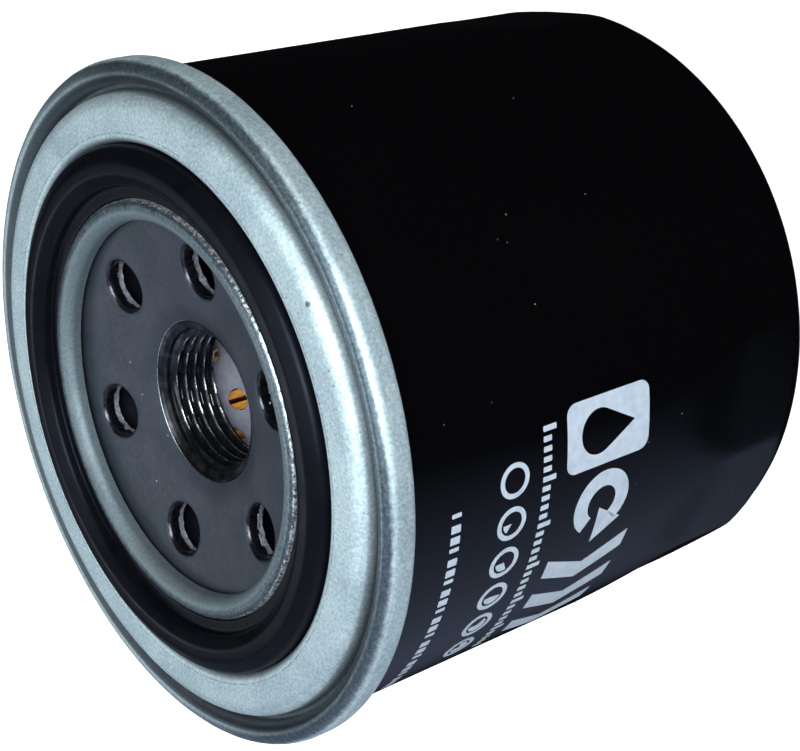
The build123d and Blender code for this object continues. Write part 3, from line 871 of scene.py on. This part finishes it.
# ---- pleated paper ------------------------------------------------------------------------------
def make_media():
    low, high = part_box("filter_media")
    bottom, top = low.z / MM, high.z / MM
    outer = high.x / MM
    pitch = 2 * pi / PLEATS

    def loop(offset):
        """One face of the paper: folds at both radii, with flanks between them."""
        far, near = outer - offset, PLEAT_IN_R + PAPER_T - offset
        points = []
        for k in range(PLEATS):
            middle = k * pitch
            for across in (-PLEAT_TIP + offset, PLEAT_TIP - offset):
                points.append((far, middle + across / far))
            for across in (-PLEAT_FOLD - offset, PLEAT_FOLD + offset):
                points.append((near, middle + pitch / 2 + across / near))
        return points

    bm = bmesh.new()
    grids = []
    for points in (loop(0.0), loop(PAPER_T)):
        grid = []
        for row in range(PLEAT_ROWS):
            z = bottom + (top - bottom) * row / (PLEAT_ROWS - 1)
            ring = []
            for r, angle in points:
                sway = 0.10 * grain(r, z, angle, 7.0) / r
                ring.append(bm.verts.new((r * cos(angle + sway) * MM,
                                          r * sin(angle + sway) * MM, z * MM)))
            grid.append(ring)
        grids.append(grid)
    pairs = [pair for grid in grids for pair in zip(grid, grid[1:])]
    pairs += [(grids[0][row], grids[1][row]) for row in (0, PLEAT_ROWS - 1)]
    for a, b in pairs:
        for k in range(len(a)):
            n = (k + 1) % len(a)
            bm.faces.new((a[k], a[n], b[n], b[k]))
    piece = new_piece("pleated_paper", bm, "shell", [PAPER], sharp=30)
    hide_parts("filter_media")


make_media()


# ---- springs ------------------------------------------------------------------------------------
COIL_STEPS = 36                 # points in one turn
END_CLOSING = 0.55              # 0 for an even pitch, 1 for end turns that lie flat


def make_coil(name, node, radius, wire_r, turns):
    """Round-wire spring with closer end turns, as tall as its CAD node."""
    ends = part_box(node)
    bottom, top = ends[0].z / MM, ends[1].z / MM
    steps = int(turns * COIL_STEPS)
    low, high = bottom + wire_r, top - wire_r
    curve = bpy.data.curves.new(name, "CURVE")
    curve.dimensions = "3D"
    line = curve.splines.new("POLY")
    line.points.add(steps)
    for k in range(steps + 1):
        t = k / steps
        angle = 2 * pi * turns * t
        rise = smooth_step(t) * END_CLOSING + t * (1 - END_CLOSING)
        line.points[k].co = (radius * cos(angle) * MM, radius * sin(angle) * MM,
                             (low + (high - low) * rise) * MM, 1)
    curve.bevel_depth = wire_r * MM
    curve.bevel_resolution = 5
    curve.use_fill_caps = True
    holder = add_object(name, curve)
    mesh = evaluated_mesh(holder)
    bpy.data.objects.remove(holder)
    mesh.name = name
    mesh.materials.clear()
    mesh.materials.append(SPRING_STEEL)
    mesh.shade_smooth()
    mesh.set_sharp_from_angle(angle=radians(50))
    piece = add_object(name, mesh)
    return piece


def make_springs():
    valve_coil = make_coil("relief_spring", "bypass_valve_spring", *BYPASS_SPRING)
    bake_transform(valve_coil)
    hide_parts("bypass_valve_spring")
    seat_coil = make_coil("support_spring", "element_spring", *ELEMENT_SPRING)
    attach(seat_coil, "shell")
    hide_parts("element_spring")


make_springs()


# ---- print on the can: plain marks, no lettering ------------------------------------------------
PRINT_R = CAN_R + 0.03
PRINT_START = radians(-101)     # the marks run from here towards smaller angles
INK_T = 0.02
CUT_OFFSET = 0.013              # keeps the 1 mm cuts off the corners of the marks


def wrap(x, y):
    """Point of the flat artwork on the can: x runs around the wall, y towards the closed end."""
    angle = PRINT_START - x / CAN_R
    return Vector((PRINT_R * cos(angle) * MM, PRINT_R * sin(angle) * MM, (FACE_Z - y) * MM))


def fill_shape(bm, loops):
    """Fills flat loops (outer first, then holes) and wraps the result around the can."""
    flat = bmesh.new()
    edges = []
    for points in loops:
        verts = [flat.verts.new((x, y, 0)) for x, y in points]
        edges += [flat.edges.new((a, b)) for a, b in zip(verts, verts[1:] + verts[:1])]
    bmesh.ops.triangle_fill(flat, use_beauty=True, use_dissolve=False, edges=edges)
    xs = [v.co.x for v in flat.verts]
    cut = ceil(min(xs)) + CUT_OFFSET
    while cut < max(xs):
        everything = flat.verts[:] + flat.edges[:] + flat.faces[:]
        bmesh.ops.bisect_plane(flat, geom=everything, plane_co=(cut, 0, 0), plane_no=(1, 0, 0))
        cut += 1.0
    placed = {v: bm.verts.new(wrap(v.co.x, v.co.y)) for v in flat.verts}
    for face in flat.faces:
        bm.faces.new([placed[v] for v in face.verts])
    flat.free()


def round_box(x, y, width, height, bend):
    """Loop of a rectangle with rounded corners."""
    corners = [(x, y), (x + width, y), (x + width, y + height), (x, y + height)]
    return [tuple(p) for p in rounded(corners, [bend] * 4, closed=True)]


def circle(x, y, r, start=0.0, end=2 * pi, count=40):
    """Points of a circle, or of an arc up to just before its end."""
    return [(x + r * cos(start + (end - start) * k / count),
             y + r * sin(start + (end - start) * k / count)) for k in range(count)]


def oil_drop(x, y, r):
    """Drop with its point up (towards smaller y on the artwork) around a centre."""
    tip = (x, y + 2.1 * r)
    arc = [(x + r * cos(a), y + r * sin(a))
           for a in [radians(150 + 240 * k / 32) for k in range(33)]]
    return [tip] + arc


def add_pictograms(bm):
    """A drop in a square, a turn arrow and three bold chevrons."""
    top, tall = 31.0, 14.8
    fill_shape(bm, [round_box(0, top, 9.6, tall, 1.6), oil_drop(4.8, top + 5.6, 3.1)])
    x, y = 15.6, top + tall / 2
    outer = circle(x, y, 4.9, radians(40), radians(330), 48)
    inner = circle(x, y, 2.5, radians(40), radians(330), 48)
    fill_shape(bm, [outer + inner[::-1]])
    fill_shape(bm, [[(x + 0.8, y - 0.2), (x + 6.6, y - 0.2), (x + 3.7, y + 4.4)]])
    for k in range(3):
        x = 22.8 + k * 6.6
        fill_shape(bm, [[(x, top), (x + 3.2, top), (x + 6.4, top + tall / 2),
                         (x + 3.2, top + tall), (x, top + tall), (x + 3.2, top + tall / 2)]])


def add_dials(bm):
    """Six dials, each filled by one part more than the one before."""
    for k in range(6):
        x, y = 7.2 + k * 6.0, 22.1
        fill_shape(bm, [circle(x, y, 2.4), circle(x, y, 1.7)])
        if k:
            share = [(x, y)] + circle(x, y, 1.35, -pi / 2, -pi / 2 + 2 * pi * k / 6.001, 24)
            fill_shape(bm, [share])


def add_ticks(bm):
    """Two fine rows of ticks."""
    for k in range(30):
        long = 1 if k % 5 else 1.6
        fill_shape(bm, [round_box(1.5 + k * 1.35, 26.9, 0.75, 1.4 * long, 0.12)])
    for k in range(22):
        fill_shape(bm, [round_box(8.6 + k * 1.6, 12.0, 1.1 if k % 3 else 0.6, 1.5, 0.12)])


def make_print():
    """Ink of the marks, as one thin coat on the can."""
    bm = bmesh.new()
    add_pictograms(bm)
    add_dials(bm)
    add_ticks(bm)
    bmesh.ops.remove_doubles(bm, verts=bm.verts, dist=1e-7)
    mesh = to_mesh("printed_marks", bm)
    mesh.materials.append(INK)
    piece = add_object("printed_marks", mesh)
    coat = piece.modifiers.new("ink", "SOLIDIFY")
    coat.thickness = INK_T * MM
    coat.offset = 0.0
    thick = evaluated_mesh(piece)
    piece.modifiers.clear()
    piece.data = thick
    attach(piece, "shell")


make_print()


# ---- finishes of the carried-over CAD nodes -----------------------------------------------------
FINISHES = {
    **dict.fromkeys(("upper_end_cap", "lower_end_cap", "center_tube", "media_seam_clip",
                     "bypass_valve_seat", "bypass_valve_plunger", "bypass_valve_cage",
                     "spring_seat"), TUBE_STEEL),
    **dict.fromkeys(("upper_potting", "lower_potting"), ADHESIVE),
    "bypass_valve_seal": VALVE_RUBBER,
    "seam_sealant": SEALANT,
}
for name, material in FINISHES.items():
    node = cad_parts[name]
    node.data.materials.clear()
    node.data.materials.append(material)


# ---- camera -------------------------------------------------------------------------------------
def direction(azimuth, elevation):
    """Unit vector from angles in degrees."""
    a, e = radians(azimuth), radians(elevation)
    return Vector((cos(e) * cos(a), cos(e) * sin(a), sin(e)))


CAMERA_AT = Vector((22.05, -197.59, 188.52))
CAMERA_AIM = (97.67, -36.35)    # azimuth and elevation in degrees
CAMERA_ROLL = -107.47           # degrees around the line of sight
LENS = 76.3                     # for a sensor of SENSOR, both in mm
SENSOR = 36.0


def make_camera():
    data = bpy.data.cameras.new("camera")
    data.sensor_width = SENSOR
    data.lens = LENS
    data.clip_start = 0.01
    camera = add_object("camera", data)
    camera.location = CAMERA_AT * MM
    aim = direction(*CAMERA_AIM).to_track_quat("-Z", "Y")
    camera.rotation_mode = "QUATERNION"
    camera.rotation_quaternion = aim @ Quaternion((0, 0, 1), radians(CAMERA_ROLL))
    bpy.context.scene.camera = camera


make_camera()


# ---- light, floor and surroundings --------------------------------------------------------------
FACE_CENTRE = Vector((0, 0, FACE_Z * MM))
TABLE_SIDE = Vector((-0.969, 0.049, 0.242))   # the side where the pale table mirrors in the can


def area_light(name, azimuth, elevation, distance, size, power, colour):
    """Round soft light aimed at the cover; distance and size in metres, power in watts."""
    data = bpy.data.lights.new(name, "AREA")
    data.shape = "DISK"
    data.size = size
    data.energy = power
    data.color = colour
    lamp = add_object(name, data)
    towards = direction(azimuth, elevation)
    lamp.location = FACE_CENTRE + towards * distance
    lamp.rotation_mode = "QUATERNION"
    lamp.rotation_quaternion = (-towards).to_track_quat("-Z", "Y")


def make_lights():
    area_light("key", 97, 46, 0.36, 0.17, 0.22, (0.93, 0.98, 1.0))
    area_light("front", -83, 38, 0.30, 0.20, 1.30, (0.95, 0.98, 1.0))
    area_light("top", -60, 80, 0.60, 0.46, 1.30, (0.93, 0.98, 1.0))


def make_floor():
    """Pale table top just under the can, lit enough to fade into the backdrop."""
    mesh = bpy.data.meshes.new("floor")
    reach = 6.0
    mesh.from_pydata([(-reach, -reach, 0), (reach, -reach, 0), (reach, reach, 0),
                      (-reach, reach, 0)], [], [(0, 1, 2, 3)])
    floor = add_object("floor", mesh)
    floor.location.z = -0.2 * MM
    m = Nodes("pale_floor", Roughness=0.9, Base_Color=(0.85, 0.86, 0.88, 1))
    m.shader.inputs["Emission Color"].default_value = (0.95, 0.97, 1.0, 1)
    m.shader.inputs["Emission Strength"].default_value = 0.90
    mesh.materials.append(m.material)
    floor.visible_glossy = False


def make_world():
    """Pale backdrop to look at; dark room with one pale side for the reflections."""
    world = bpy.data.worlds.new("studio")
    bpy.context.scene.world = world
    world.use_nodes = True
    tree = world.node_tree
    tree.nodes.clear()
    place = tree.nodes.new("ShaderNodeTexCoord")
    dot = tree.nodes.new("ShaderNodeVectorMath")
    dot.operation = "DOT_PRODUCT"
    dot.inputs[1].default_value = TABLE_SIDE
    tree.links.new(place.outputs["Generated"], dot.inputs[0])
    ramp = tree.nodes.new("ShaderNodeValToRGB")
    stops = ramp.color_ramp.elements
    stops[0].position, stops[0].color = 0.30, (0.005, 0.005, 0.006, 1)
    stops[1].position, stops[1].color = 0.97, (0.95, 0.98, 1.0, 1)
    middle = stops.new(0.80)
    middle.color = (0.24, 0.30, 0.46, 1)
    tree.links.new(dot.outputs["Value"], ramp.inputs["Fac"])
    room = tree.nodes.new("ShaderNodeBackground")
    tree.links.new(ramp.outputs["Color"], room.inputs["Color"])
    room.inputs["Strength"].default_value = 0.80
    backdrop = tree.nodes.new("ShaderNodeBackground")
    backdrop.inputs["Color"].default_value = (0.96, 0.97, 1.0, 1)
    path = tree.nodes.new("ShaderNodeLightPath")
    either = tree.nodes.new("ShaderNodeMixShader")
    tree.links.new(path.outputs["Is Camera Ray"], either.inputs[0])
    tree.links.new(room.outputs[0], either.inputs[1])
    tree.links.new(backdrop.outputs[0], either.inputs[2])
    output = tree.nodes.new("ShaderNodeOutputWorld")
    tree.links.new(either.outputs[0], output.inputs["Surface"])


make_lights()
make_floor()
make_world()
bpy.context.scene.view_settings.view_transform = "Standard"
